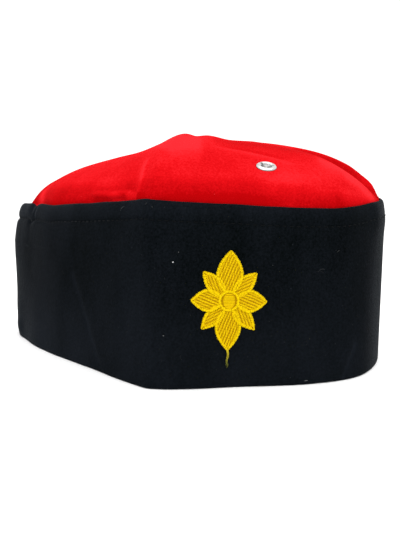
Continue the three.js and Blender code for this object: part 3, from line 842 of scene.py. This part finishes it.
# %% Painted light and shade strokes
CROWN_PAINTED_LIGHT_AND_SHADE = [  # path over the plan in mm, change of tone, width towards its left and its right
    ([(-14, -20), (-11, -40), (-7, -60), (-3, -80)], -0.4, 17, 13),
    ([(-26, -24), (-27.5, -32.7), (-27.4, -41.1), (-28.6, -49.5), (-29.4, -58.6), (-30.6, -70)],
     0.25, 1.2, 2.2),
    ([(-23, -28), (-24, -44), (-25.2, -54), (-27, -66)], -0.15, 3.0, 1.4),
    ([(-56, -56), (-49, -72), (-40, -88)], 0.18, 7, 8),
    ([(12, -74), (9, -88), (6, -100), (5, -108)], -0.3, 9, 7),
    ([(-38, -58), (-34, -76), (-27, -92)], 0.15, 9, 9),
    ([(-38, -90), (-28, -100), (-12, -109)], 0.35, 7, 9),
    ([(-66, -0.6), (-62.2, 0), (-59.5, 0), (-55.2, 0.6), (-50.2, 1.2), (-46, 0.8)], 0.35, 3.0, 0.5),
    ([(-68, -4), (-65, -5), (-60, -4), (-55, -3)], -0.1, 2.5, 9),
    ([(-69, -8), (-66, -20), (-60, -36), (-54.7, -52), (-50, -68)], -0.25, 3.5, 3.5),
    ([(-47, -52), (-43.6, -64.7), (-40, -78.4), (-33, -91.5), (-22, -100)], 0.3, 5, 6),
    ([(-44, 34), (-52.1, 19.6), (-58, 9)], 0.2, 4, 4),
    ([(-55, 19.5), (-60.3, 11), (-65.5, 2)], 0.35, 2.0, 4.5),
    ([(-60, 8.5), (-62.5, 4.5), (-64.3, 0.8)], 0.4, 1.6, 2.4),
    ([(-64, 1.5), (-65.4, -1), (-66.9, -3.8)], -0.6, 1.3, 1.6),
    ([(-20, -92), (-18, -100), (-16.5, -106), (-15, -111)], 0.5, 3.5, 7),
    ([(2, -98), (1.5, -104), (1, -110)], -0.25, 1.5, 1.5),
    ([(9, -64), (5.5, -80), (4, -90), (2.5, -104)], -0.4, 3.6, 4),
    ([(-49, 37), (-52.5, 32), (-56, 24), (-58, 18)], -0.3, 1.2, 3),
    ([(-40, 0), (-34, -10), (-30, -22)], 0.6, 13, 13),
    ([(-19, -78), (-15, -90), (-9, -103), (-4, -114)], 0.65, 5, 9),
    ([(-20, 82), (-14, 86), (-8, 88)], 0.65, 7, 5),
    ([(-24, 79), (-21.4, 77.8), (-16.3, 78.1), (-10, 80)], 0.3, 1.6, 1.0),
    ([(-48, 33.5), (-50.4, 28.9), (-56.2, 17), (-60.9, 6.2), (-63.4, 2.4)], 0.35, 1.3, 1.0),
    ([(62, -40), (50, -50), (36, -54)], 0.25, 10, 10),
    ([(54, 36), (40, 46), (24, 52)], -0.18, 12, 14),
    ([(68, -7), (58, -5), (46, -6), (34, -6)], 0.3, 1.2, 3.0),
]
crown_painted_light_and_shade = sum(fold_lift(crown_outer, *stroke) for stroke in CROWN_PAINTED_LIGHT_AND_SHADE) / MM
print("strokes change the tone by", round(crown_painted_light_and_shade.min(), 2), "to", round(crown_painted_light_and_shade.max(), 2))

# %% [markdown]
# A hole for the vent eyelet goes through the crown's right slope. A boolean cut would leave long thin
# faces. Here the cloth round the hole is pushed aside instead, as a punch does it: distances from the
# hole's middle are mapped so that none is less than the hole's radius, and the faces left over the hole
# are taken out. The press also flattens the cloth under the flange, a little less steep than the slope.

# %% Eyelet hole
EYELET_X = -37.3 * MM
EYELET_Y = -55.2 * MM
HOLE_RADIUS = 3.4 * MM
PUSHED_RADIUS = 9.0 * MM
FLAT_RADIUS = 5.0 * MM
EYELET_TILT = 0.2
SLOPE_STEP = 1.5 * MM
NO_LENGTH = 1e-9

eyelet_place = np.array([EYELET_X, EYELET_Y, crown_height(EYELET_X, EYELET_Y)])
slope_x = crown_height(EYELET_X + SLOPE_STEP, EYELET_Y) - crown_height(EYELET_X - SLOPE_STEP, EYELET_Y)
slope_y = crown_height(EYELET_X, EYELET_Y + SLOPE_STEP) - crown_height(EYELET_X, EYELET_Y - SLOPE_STEP)
eyelet_axis = np.array([-slope_x, -slope_y, 2 * SLOPE_STEP])
eyelet_axis = eyelet_axis / np.linalg.norm(eyelet_axis) + (0, 0, EYELET_TILT)
eyelet_axis /= np.linalg.norm(eyelet_axis)
eyelet_side = np.cross((0.0, 1.0, 0.0), eyelet_axis)
eyelet_side /= np.linalg.norm(eyelet_side)
eyelet_up = np.cross(eyelet_axis, eyelet_side)


def punched(points, depth):
    """Points pushed away from the eyelet's axis: a distance r under R becomes h + (R - h) * r / R. Under
    the flange they come to a level of depth below the eyelet's place, easing off as far out as R."""
    gone = points - eyelet_place
    above = (gone @ eyelet_axis)[..., None]
    level = gone - above * eyelet_axis
    r = np.maximum(np.linalg.norm(level, axis=-1, keepdims=True), NO_LENGTH)
    near = (r < PUSHED_RADIUS) & (np.abs(above) < PUSHED_RADIUS)
    wanted = HOLE_RADIUS + (PUSHED_RADIUS - HOLE_RADIUS) * r / PUSHED_RADIUS
    t = np.clip((wanted - FLAT_RADIUS) / (PUSHED_RADIUS - FLAT_RADIUS), 0, 1)
    flatter = (-depth - above) * (1 - t**2 * (3 - 2 * t)) * eyelet_axis
    return np.where(near, points + level / r * (wanted - r) + flatter, points)


print("the eyelet's axis leans", round(np.degrees(np.arccos(eyelet_axis[2])), 1), "degrees from upright")

# %% [markdown]
# The crown is then a shell with an outside, an inside, a hem at the bottom of the skirt and a wall round
# the hole. It could be left thin and thickened by a modifier, but the hole's wall is cleaner this way. It
# is a sheet of cloth, so it is declared with the size that it was cut to, a little more than its own.

# %% Crown
HOLE_REACH = 1.3 * MM  # faces with their middle this near to the eyelet's place are taken out

half = crown_outer[..., 0].size
quads = grid_faces(len(crown_outer), CROWN_STATIONS)
middles = crown_outer.reshape(-1, 3)[quads].mean(axis=2)
holed = np.linalg.norm(middles - eyelet_place, axis=-1) < HOLE_REACH
walls = []
for edge, step in (((0, 1), (1, 0)), ((1, 2), (0, -1)), ((2, 3), (-1, 0)), ((3, 0), (0, 1))):
    border = holed & ~np.roll(holed, step, axis=(0, 1))
    p, q = quads[border][:, edge].T
    walls.append(np.stack([p, q, q + half, p + half], axis=1))
kept = quads[~holed]
ring = np.arange(CROWN_STATIONS)
following = np.roll(ring, -1)
hem = np.stack([following, ring, ring + half, following + half], axis=1)
last_ring = half - CROWN_STATIONS
cap = np.stack([ring + last_ring, following + last_ring, np.full(CROWN_STATIONS, 2 * half)], axis=1)
cap_inside = cap[:, [1, 0, 2]] + (half, half, 1)
peak = np.array([[0, 0, crown_height(0.0, 0.0)]])
crown_points = np.concatenate([
    punched(crown_outer, 0).reshape(-1, 3), punched(crown_inner, CROWN_WALL).reshape(-1, 3), peak,
    peak - (0, 0, CROWN_WALL)])
crown_faces = [
    face for part in (kept, kept[:, ::-1] + half, hem, *walls, cap, cap_inside) for face in part.tolist()]
crown = add_piece("velvet_crown", crown_points, crown_faces, red_velvet,
                  shade=np.concatenate([crown_painted_light_and_shade, crown_painted_light_and_shade, [crown_painted_light_and_shade[-1, :2]]], axis=None))
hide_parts("crown")

# %% [markdown]
# ## Eyelet
# The vent eyelet is pressed from thin nickel-plated sheet: a domed flange on the cloth, a barrel through it
# that narrows downwards, and an edge that is rolled out underneath. Rings and tubes could be joined for it.
# It is a turned shape, so one closed profile is carried round the axis. Dark reflections are painted in
# places on the lip of the hole and in a ring inside the lip, and a painted shadow along the flange's edge.

# %% Eyelet
EYELET_PROFILE = np.array([  # radius, height over the cloth
    (1.8, -2.4), (2.5, -2.75), (4.0, -2.8), (4.75, -2.6), (4.75, -2.35), (4.0, -2.2),
    (3.1, -2.15), (2.95, -1.6), (2.95, -0.3), (3.1, 0.06), (4.2, 0.06), (4.85, 0.02), (5.05, 0.1),
    (4.97, 0.36), (4.65, 0.66), (4.1, 0.88), (3.5, 0.94), (2.95, 0.82), (2.5, 0.45), (2.2, -0.1),
    (1.9, -0.9), (1.7, -1.7),
]) * MM
PROFILE_STEPS = 5
EYELET_SIDES = 96
PAINTED_DARK_SPOTS = np.array([  # towards the front, uphill, size, then how dark
    (-2.6, 1.6, 0.7, 0.9),
    (3.1, 0.4, 0.7, 0.6),
    (-4.2, -0.6, 0.5, 0.4),
]) * (MM, MM, MM, 1)
PAINTED_DARK_RINGS = np.array([(5.05, 0.12, 0.6), (2.45, 0.3, 0.4)]) * (MM, MM, 1)  # radius, width, how dark

profile = closed_spline(EYELET_PROFILE, PROFILE_STEPS)
turn = np.linspace(0, 2 * np.pi, EYELET_SIDES, endpoint=False)
spoke = np.cos(turn)[:, None] * eyelet_side + np.sin(turn)[:, None] * eyelet_up
eyelet_points = eyelet_place + profile[:, 0, None, None] * spoke + profile[:, 1, None, None] * eyelet_axis
gone = eyelet_points - eyelet_place
front, uphill = -(gone @ eyelet_up), gone @ eyelet_side
# Painted dark reflections at spots on the lip, a painted shadow ring at the flange's edge and a painted dark
# reflection ring inside the lip.
painted_dark_marks = sum(
    dark * np.exp(-((front - a) ** 2 + (uphill - b) ** 2) / size**2) for a, b, size, dark in PAINTED_DARK_SPOTS)
painted_dark_marks = painted_dark_marks + sum(
    dark * np.exp(-(((profile[:, :1] - radius) / width) ** 2)) for radius, width, dark in PAINTED_DARK_RINGS)
eyelet_faces = grid_faces(len(profile), EYELET_SIDES, close_rows=True).reshape(-1, 4)
eyelet = add_piece("vent_eyelet", eyelet_points, eyelet_faces, nickel, shade=painted_dark_marks)
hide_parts("eyelet")

# %% [markdown]
# ## Embroidery
# The emblem is machine embroidery: each petal has a flat fill of long stitches side by side, whose ends
# are staggered like bricks, and a raised border of short satin stitches across its edge. The petals in
# between were sewn first, the four main ones over them, and the hub last. A bumpy plate could stand for
# it, but thread catches the light along its own direction, so every stitch is a rod. The work is laid
# out flat and then wrapped onto the band.

# %% Rosette outline
ROSETTE_Y = -42.3 * MM
ROSETTE_HEIGHT = 40.5 * MM
ROSETTE_LEAN = np.radians(-2)
PETAL_KINDS = [  # turns from upright in degrees, root, tip and half width in mm, height of its layer
    ((43, 137, 223, 317), 2, 18, 4.0, 0.0),
    ((90, 270), 2, 17.5, 5.4, 0.14),
    ((0, 180), 2, 23, 6.2, 0.14),
]


def right_side_share(y):
    """The share of the way round where the band's right side is nearest to each y."""
    miss = np.abs(plan[:, 1] - np.reshape(y, (-1, 1)))
    return SHARES[np.where(plan[:, 0] < 0, miss, np.inf).argmin(axis=1)]


rosette_share = right_side_share(ROSETTE_Y)[0]


def on_wall(points):
    """Flat points (to the front, up, out of the cloth) wrapped onto the band's wall by their distance
    along it from the rosette's middle."""
    share = rosette_share + points[..., 0] / PLAN_LENGTH
    z = ROSETTE_HEIGHT + points[..., 1]
    return off_plan(share, wall_depth(share, z) - points[..., 2], z)


def petal_half_width(t, half):
    """Half the petal's width at a share of its length: half * sin(pi * t ** 0.9) ** 0.8."""
    return half * np.sin(np.pi * np.clip(t, 0, 1) ** 0.9) ** 0.8


def turned_by(flat, degrees):
    """Flat points turned clockwise by an angle from upright, with the rosette's own lean."""
    a = np.radians(degrees) - ROSETTE_LEAN
    return flat @ np.array([[np.cos(a), -np.sin(a)], [np.sin(a), np.cos(a)]])


print("the rosette sits", round(rosette_share * PLAN_LENGTH / MM), "mm round the band from the front")

# %% Stitches of a petal
BORDER = 1.5 * MM
BORDER_SPAN, BORDER_STEPS = (0.1, 0.995), 600  # shares of the petal's length, and places tried
FILL_SPAN, FILL_STEPS = (0.08, 1), 500
THREAD_STEP = 0.42 * MM
FILL_STITCH = 3.6 * MM
FILL_GAP = 0.45 * MM
FILL_SHORTEST = 0.5 * MM
FILL_ROUNDS = np.arange(-1, 8)  # enough lengths for the longest petal
STAGGER = 0.3  # of a stitch, from row to row
OVERLAP = 0.75  # of the border's width, where the fill ends under it


def border_stitches(root, tip, half):
    """Short stitches inwards from a petal's edge, square to it and an equal distance apart, that end short
    of the petal's middle."""
    t = np.linspace(*BORDER_SPAN, BORDER_STEPS)
    edge = np.stack([petal_half_width(t, half), root + (tip - root) * t], axis=1)
    length = lengths_along(edge)
    places = np.arange(0, length[-1], THREAD_STEP)
    start, run = (
        np.stack([np.interp(places, length, column) for column in values.T], axis=1)
        for values in (edge, np.gradient(edge, axis=0)))
    run /= np.linalg.norm(run, axis=1, keepdims=True)
    inside = np.stack([-run[:, 1], run[:, 0]], axis=1)
    reach = np.minimum(BORDER, 0.92 * start[:, 0] / np.maximum(-inside[:, 0], 0.2))
    end = start + inside * reach[:, None]
    mirror = np.array([-1, 1])
    return np.vstack([start, start * mirror]), np.vstack([end, end * mirror])


def fill_stitches(root, tip, half):
    """Long stitches side by side along a petal, cut into lengths whose ends step from row to row."""
    t = np.linspace(*FILL_SPAN, FILL_STEPS)
    room = petal_half_width(t, half) - OVERLAP * BORDER
    columns = np.arange(-half, half, THREAD_STEP)
    fits = room[None, :] > np.abs(columns)[:, None]
    columns, fits = columns[fits.any(axis=1)], fits[fits.any(axis=1)]
    along = root + (tip - root) * t
    low, high = along[fits.argmax(axis=1)], along[len(t) - 1 - fits[:, ::-1].argmax(axis=1)]
    stagger = FILL_STITCH * (np.arange(len(columns)) * STAGGER % 1)
    cuts = stagger[:, None] + FILL_STITCH * FILL_ROUNDS[None, :]
    start, end = np.maximum(cuts, low[:, None]), np.minimum(cuts + FILL_STITCH - FILL_GAP, high[:, None])
    kept = end - start > FILL_SHORTEST
    across = np.broadcast_to(columns[:, None], start.shape)[kept]
    return np.stack([across, start[kept]], axis=1), np.stack([across, end[kept]], axis=1)


def hub_stitches(radius):
    """A ring of short stitches towards the hub's middle, and rows across what the ring leaves."""
    spokes = np.linspace(0, 2 * np.pi, int(2 * np.pi * radius / THREAD_STEP), endpoint=False)
    rim = np.stack([np.cos(spokes), np.sin(spokes)], axis=1)
    rows = np.arange(-radius + BORDER, radius - BORDER, THREAD_STEP)
    wide = np.sqrt(np.maximum((radius - 0.7 * BORDER) ** 2 - rows**2, 0))
    return (rim * radius, rim * (radius - BORDER),
            np.stack([-wide, rows], axis=1), np.stack([wide, rows], axis=1))


main_petal = np.array(PETAL_KINDS[-1][1:4]) * MM
print("a main petal has", len(border_stitches(*main_petal)[0]), "border stitches and",
      len(fill_stitches(*main_petal)[0]), "fill stitches")

# %% [markdown]
# All stitches are gathered as pairs of flat ends with a height and a tone, made into rods in one go, and
# wrapped onto the band. Border stitches stand higher, because they are sewn over an underlay, and they
# and the hub's ring have a brighter tone, which is a painted highlight. Under each petal lies that
# underlay: a thin layer of thread whose darker colour is painted shade, and it closes the gaps.

# %% Embroidery
# The border's and the hub ring's higher tones are a painted highlight.
FILL_LIFT, FILL_TONE = 0.34, 0.3  # heights over the layer in mm, and tones
BORDER_LIFT, BORDER_TONE = 0.66, 0.8
HUB_RADIUS = 5 * MM
HUB_LAYER = 0.3
HUB_ROW_LIFT, HUB_ROW_TONE = 0.42, 0.35
HUB_RING_LIFT, HUB_RING_TONE = 0.7, 0.85
THREAD_RADIUS = 0.215 * MM
THREAD_SINK = 0.02 * MM
THREAD_SPREAD = (0.9, 1.08)  # of the radius
END_MISS, LIFT_MISS, TONE_MISS = 0.08 * MM, 0.025 * MM, 0.16  # how far a stitch is off, as a spread
UNDERLAY_SPAN, UNDERLAY_STEPS = (0.04, 0.985), 40
UNDERLAY_SHARE = 0.96  # of the petal's width
SIDEWAYS = np.array([[1.0, 0.0]])

sewn, underlays = [], []
for turns, root, tip, half, layer in PETAL_KINDS:
    root, tip, half = root * MM, tip * MM, half * MM
    for degrees in turns:
        for (start, end), lift, tone in (
                (fill_stitches(root, tip, half), layer + FILL_LIFT, FILL_TONE),
                (border_stitches(root, tip, half), layer + BORDER_LIFT, BORDER_TONE)):
            sewn.append((turned_by(start, degrees), turned_by(end, degrees), lift, tone))
        t = np.linspace(*UNDERLAY_SPAN, UNDERLAY_STEPS)
        spine = turned_by(np.stack([0 * t, root + (tip - root) * t], axis=1), degrees)
        width = UNDERLAY_SHARE * petal_half_width(t, half)
        underlays.append((spine, turned_by(SIDEWAYS, degrees), width, layer))
ring_start, ring_end, row_start, row_end = hub_stitches(HUB_RADIUS)
sewn.append((row_start, row_end, HUB_LAYER + HUB_ROW_LIFT, HUB_ROW_TONE))
sewn.append((ring_start, ring_end, HUB_LAYER + HUB_RING_LIFT, HUB_RING_TONE))

starts, ends = (np.concatenate([kind[k] for kind in sewn]) for k in (0, 1))
lifts = np.concatenate([np.full(len(start), lift * MM) for start, _, lift, _ in sewn])
tones = np.concatenate([np.full(len(start), tone) for start, _, _, tone in sewn])
count = len(starts)
rng = np.random.default_rng(23)
jitter = rng.normal(0, END_MISS, (2, count, 2))
lifts = lifts + rng.normal(0, LIFT_MISS, count)
radii = THREAD_RADIUS * rng.uniform(*THREAD_SPREAD, count)
points, faces, uv = flat_rods(
    starts + jitter[0], ends + jitter[1], lifts, np.full(count, THREAD_SINK), radii, steps=5, corners=5)
shade = np.clip(tones + rng.normal(0, TONE_MISS, count), 0, 1)
emblem = add_piece(
    "emblem_threads", on_wall(points), faces, yellow_thread, uv, for_rods(shade, points))
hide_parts("emblem")
print(count, "stitches")

# %% Underlay of the embroidery
UNDERLAY_LIFT = 0.08
UNDERLAY_HALF = 0.2 * MM
t = np.linspace(-0.99, 0.99, UNDERLAY_STEPS)
hub_spine = np.stack([0 * t, HUB_RADIUS * t], axis=1)
underlays.append((hub_spine, SIDEWAYS, UNDERLAY_SHARE * HUB_RADIUS * np.sqrt(1 - t**2), HUB_LAYER))
spines = np.stack([
    np.column_stack([spine, np.full(UNDERLAY_STEPS, (layer + UNDERLAY_LIFT) * MM)])
    for spine, _, _, layer in underlays])
sides = np.stack([[[*across[0], 0.0]] for _, across, _, _ in underlays])
widths = np.stack([width for _, _, width, _ in underlays])
points, faces, uv = rods(spines, -sides, widths, np.minimum(widths, UNDERLAY_HALF), corners=20)
add_piece("emblem_underlay", on_wall(points), faces, underlay_thread, uv,
          np.zeros(points.shape[:3]))

# %% [markdown]
# One thread end was left hanging under the lowest petal. It is a few strands twisted round each other, only
# some millimetres long, so it is part of the embroidery and no cord. It could be one rod with a twisted
# finish, but it has faded, and towards its end the strands part and grow thin, so each strand is a rod.

# %% Loose thread end
TAIL_START = (-0.8 * MM, -22.2 * MM)
TAIL_LENGTH = 8.6 * MM
TAIL_SHORTEST = 0.82  # of that length, for the shortest strand
TAIL_TWISTS = 2.2
TAIL_STRANDS = 5
TAIL_STEPS = 48
TAIL_SWAY = 0.45 * MM
TAIL_LIFT = 0.55 * MM
TAIL_RADIUS = 0.2

t = np.linspace(0, 1, TAIL_STEPS)
strand = np.arange(TAIL_STRANDS)[:, None] / TAIL_STRANDS
strand_turn = 2 * np.pi * (TAIL_TWISTS * t + strand)
length = TAIL_LENGTH * (TAIL_SHORTEST + (1 - TAIL_SHORTEST) * np.sin(7 * strand) ** 2)
spread = MM * (0.34 - 0.1 * t + 0.75 * np.clip(t - 0.6, 0, 1) ** 1.5)  # parts beyond 0.6 of the way
tail_paths = np.stack([
    TAIL_START[0] + TAIL_SWAY * np.sin(6.5 * t) * np.sqrt(t) + spread * np.cos(strand_turn),
    TAIL_START[1] - length * t,
    TAIL_LIFT + 0.2 * MM * np.sin(4 * t) + spread * np.sin(strand_turn)], axis=-1)
thin = MM * (TAIL_RADIUS - 0.13 * t**2)
points, faces, uv = rods(tail_paths, (1.0, 0.0, 0.0), thin, thin, corners=8)
tail_shade = np.broadcast_to(np.clip(1 - 1.3 * t, 0, 1)[None, :, None], points.shape[:3])
add_piece("loose_thread", on_wall(points), faces, faded_thread, uv, tail_shade)

# %% [markdown]
# ## Lint
# Black velvet gathers dust and pale fibres, and the photograph shows them. A particle system could strew
# them. Here each bit of lint is a short bent fibre that lies on the cloth. Random places, lengths and bends
# come from one seeded generator, so every run gives the same hat. A few larger bits have places of their
# own.

# %% Places of the lint
LINT_COUNT = 110
LINT_HEIGHTS = (3 * MM, 64 * MM)
LINT_RADII = (0.03 * MM, 0.06 * MM)
LINT_SHORTEST = 0.25 * MM
LINT_BEND = 0.35
LINT_SPOTS = np.array([  # y, z, length and radius on the right side, then paleness
    (-18.6, 58.3, 0.7, 0.3, 0.7),
    (-21.0, 62.7, 0.6, 0.14, 0.1),
    (-14.3, 25.2, 0.6, 0.2, 0.14),
    (-82.5, 54.4, 2.8, 0.06, 0.05),
    (-89.5, 62.5, 2.2, 0.06, 0.05),
    (-76.5, 2.2, 1.6, 0.2, 0.12),
    (8.8, 82.4, 3.4, 0.1, 0.05),
    (-6.0, 84.0, 0.9, 0.2, 0.02),
    (-9.5, 82.5, 0.9, 0.16, 0.02),
]) * (MM, MM, MM, MM, 1)
rng = np.random.default_rng(41)
share = np.concatenate([rng.random(LINT_COUNT), right_side_share(LINT_SPOTS[:, 0])])
z = np.concatenate([rng.uniform(*LINT_HEIGHTS, LINT_COUNT), LINT_SPOTS[:, 1]])
long = np.concatenate([rng.gamma(1.6, 0.5 * MM, LINT_COUNT) + LINT_SHORTEST, LINT_SPOTS[:, 2]])
radius = np.concatenate([rng.uniform(*LINT_RADII, LINT_COUNT), LINT_SPOTS[:, 3]])
pale = np.concatenate([rng.beta(1.0, 30.0, LINT_COUNT), LINT_SPOTS[:, 4]])
lies = rng.uniform(0, 2 * np.pi, len(share))
bend = rng.normal(0, LINT_BEND, len(share))
print(len(share), "bits of lint, up to", round(long.max() / MM, 1), "mm long")

# %% Lint
LINT_STEPS = 6
LINT_TAPER = 0.6
LINT_LEAN = np.array([(-2.3 * RIM, 0.02), (-RIM, 0.45), (0, 1.0)]) * (MM, 1)  # from the top, share of lean

t = np.linspace(-0.5, 0.5, LINT_STEPS)
run = np.stack([np.cos(lies), np.sin(lies)], axis=1)[:, None, :]
side = np.stack([-np.sin(lies), np.cos(lies), 0 * lies], axis=1)[:, None, :]
flat = long[:, None, None] * (t[None, :, None] * run + (bend[:, None] * t**2)[..., None] * side[..., :2])
lift = np.broadcast_to(0.6 * radius[:, None], flat.shape[:2])
thick = radius[:, None] * (1 - LINT_TAPER * (2 * t) ** 4)
points, faces, uv = rods(np.concatenate([flat, lift[..., None]], axis=2), side, thick, thick, corners=5)
where = share[:, None, None] + points[..., 0] / PLAN_LENGTH
high = z[:, None, None] + points[..., 1]
lean = np.interp(high - around(plan[:, 2], where), *LINT_LEAN.T)
lint_points = on_band(where, 0, high, lean, -points[..., 2])
add_piece("lint", lint_points, faces, lint_fibre, uv, for_rods(pale, points))

# %% [markdown]
# ## Floor and light
# The photograph has a bare white ground and soft light from above. A studio with walls could be built. A
# wide pale floor, an even white sky and two large soft lamps give the same: one lamp overhead, and a weaker
# one beside the camera for the band.


# %% Floor and light
def soft_lamp(name, place, aim, size, power):
    """A square area lamp that points from its place to its aim."""
    lamp = bpy.data.lights.new(name, "AREA")
    lamp.size = size
    lamp.energy = power
    made = bpy.data.objects.new(name, lamp)
    made.location = place
    made.rotation_mode = "QUATERNION"
    made.rotation_quaternion = (Vector(aim) - Vector(place)).to_track_quat("-Z", "Y")
    bpy.context.scene.collection.objects.link(made)


FLOOR_HALF = 12.0
SKY_STRENGTH = 1.3
HAT_MIDDLE = (0.0, 0.0, 0.07)

paper, _, _ = new_material("white_paper", Base_Color=(0.96, 0.96, 0.96, 1), Roughness=0.8)
floor_mesh = bpy.data.meshes.new("floor")
corner = np.array([(-1, -1, 0), (1, -1, 0), (1, 1, 0), (-1, 1, 0)]) * FLOOR_HALF
floor_mesh.from_pydata(corner, [], [(0, 1, 2, 3)])
floor_mesh.materials.append(paper)
floor = bpy.data.objects.new("floor", floor_mesh)
bpy.context.scene.collection.objects.link(floor)
floor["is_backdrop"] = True

soft_lamp("overhead", (-0.2, -0.15, 1.3), HAT_MIDDLE, size=1.2, power=10.0)
soft_lamp("beside_camera", (-1.0, 0.6, 0.6), HAT_MIDDLE, size=0.8, power=1.9)
sky = bpy.data.worlds.new("sky")
sky.use_nodes = True
sky.node_tree.nodes["Background"].inputs["Color"].default_value = (1, 1, 1, 1)
sky.node_tree.nodes["Background"].inputs["Strength"].default_value = SKY_STRENGTH
bpy.context.scene.world = sky
bpy.context.scene.view_settings.view_transform = "Standard"

# %% [markdown]
# ## Size
# The dressed hat's box is printed, as the solids' box was at the start.

# %% Size
low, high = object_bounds()
print("dressed from", tuple(low), "to", tuple(high))
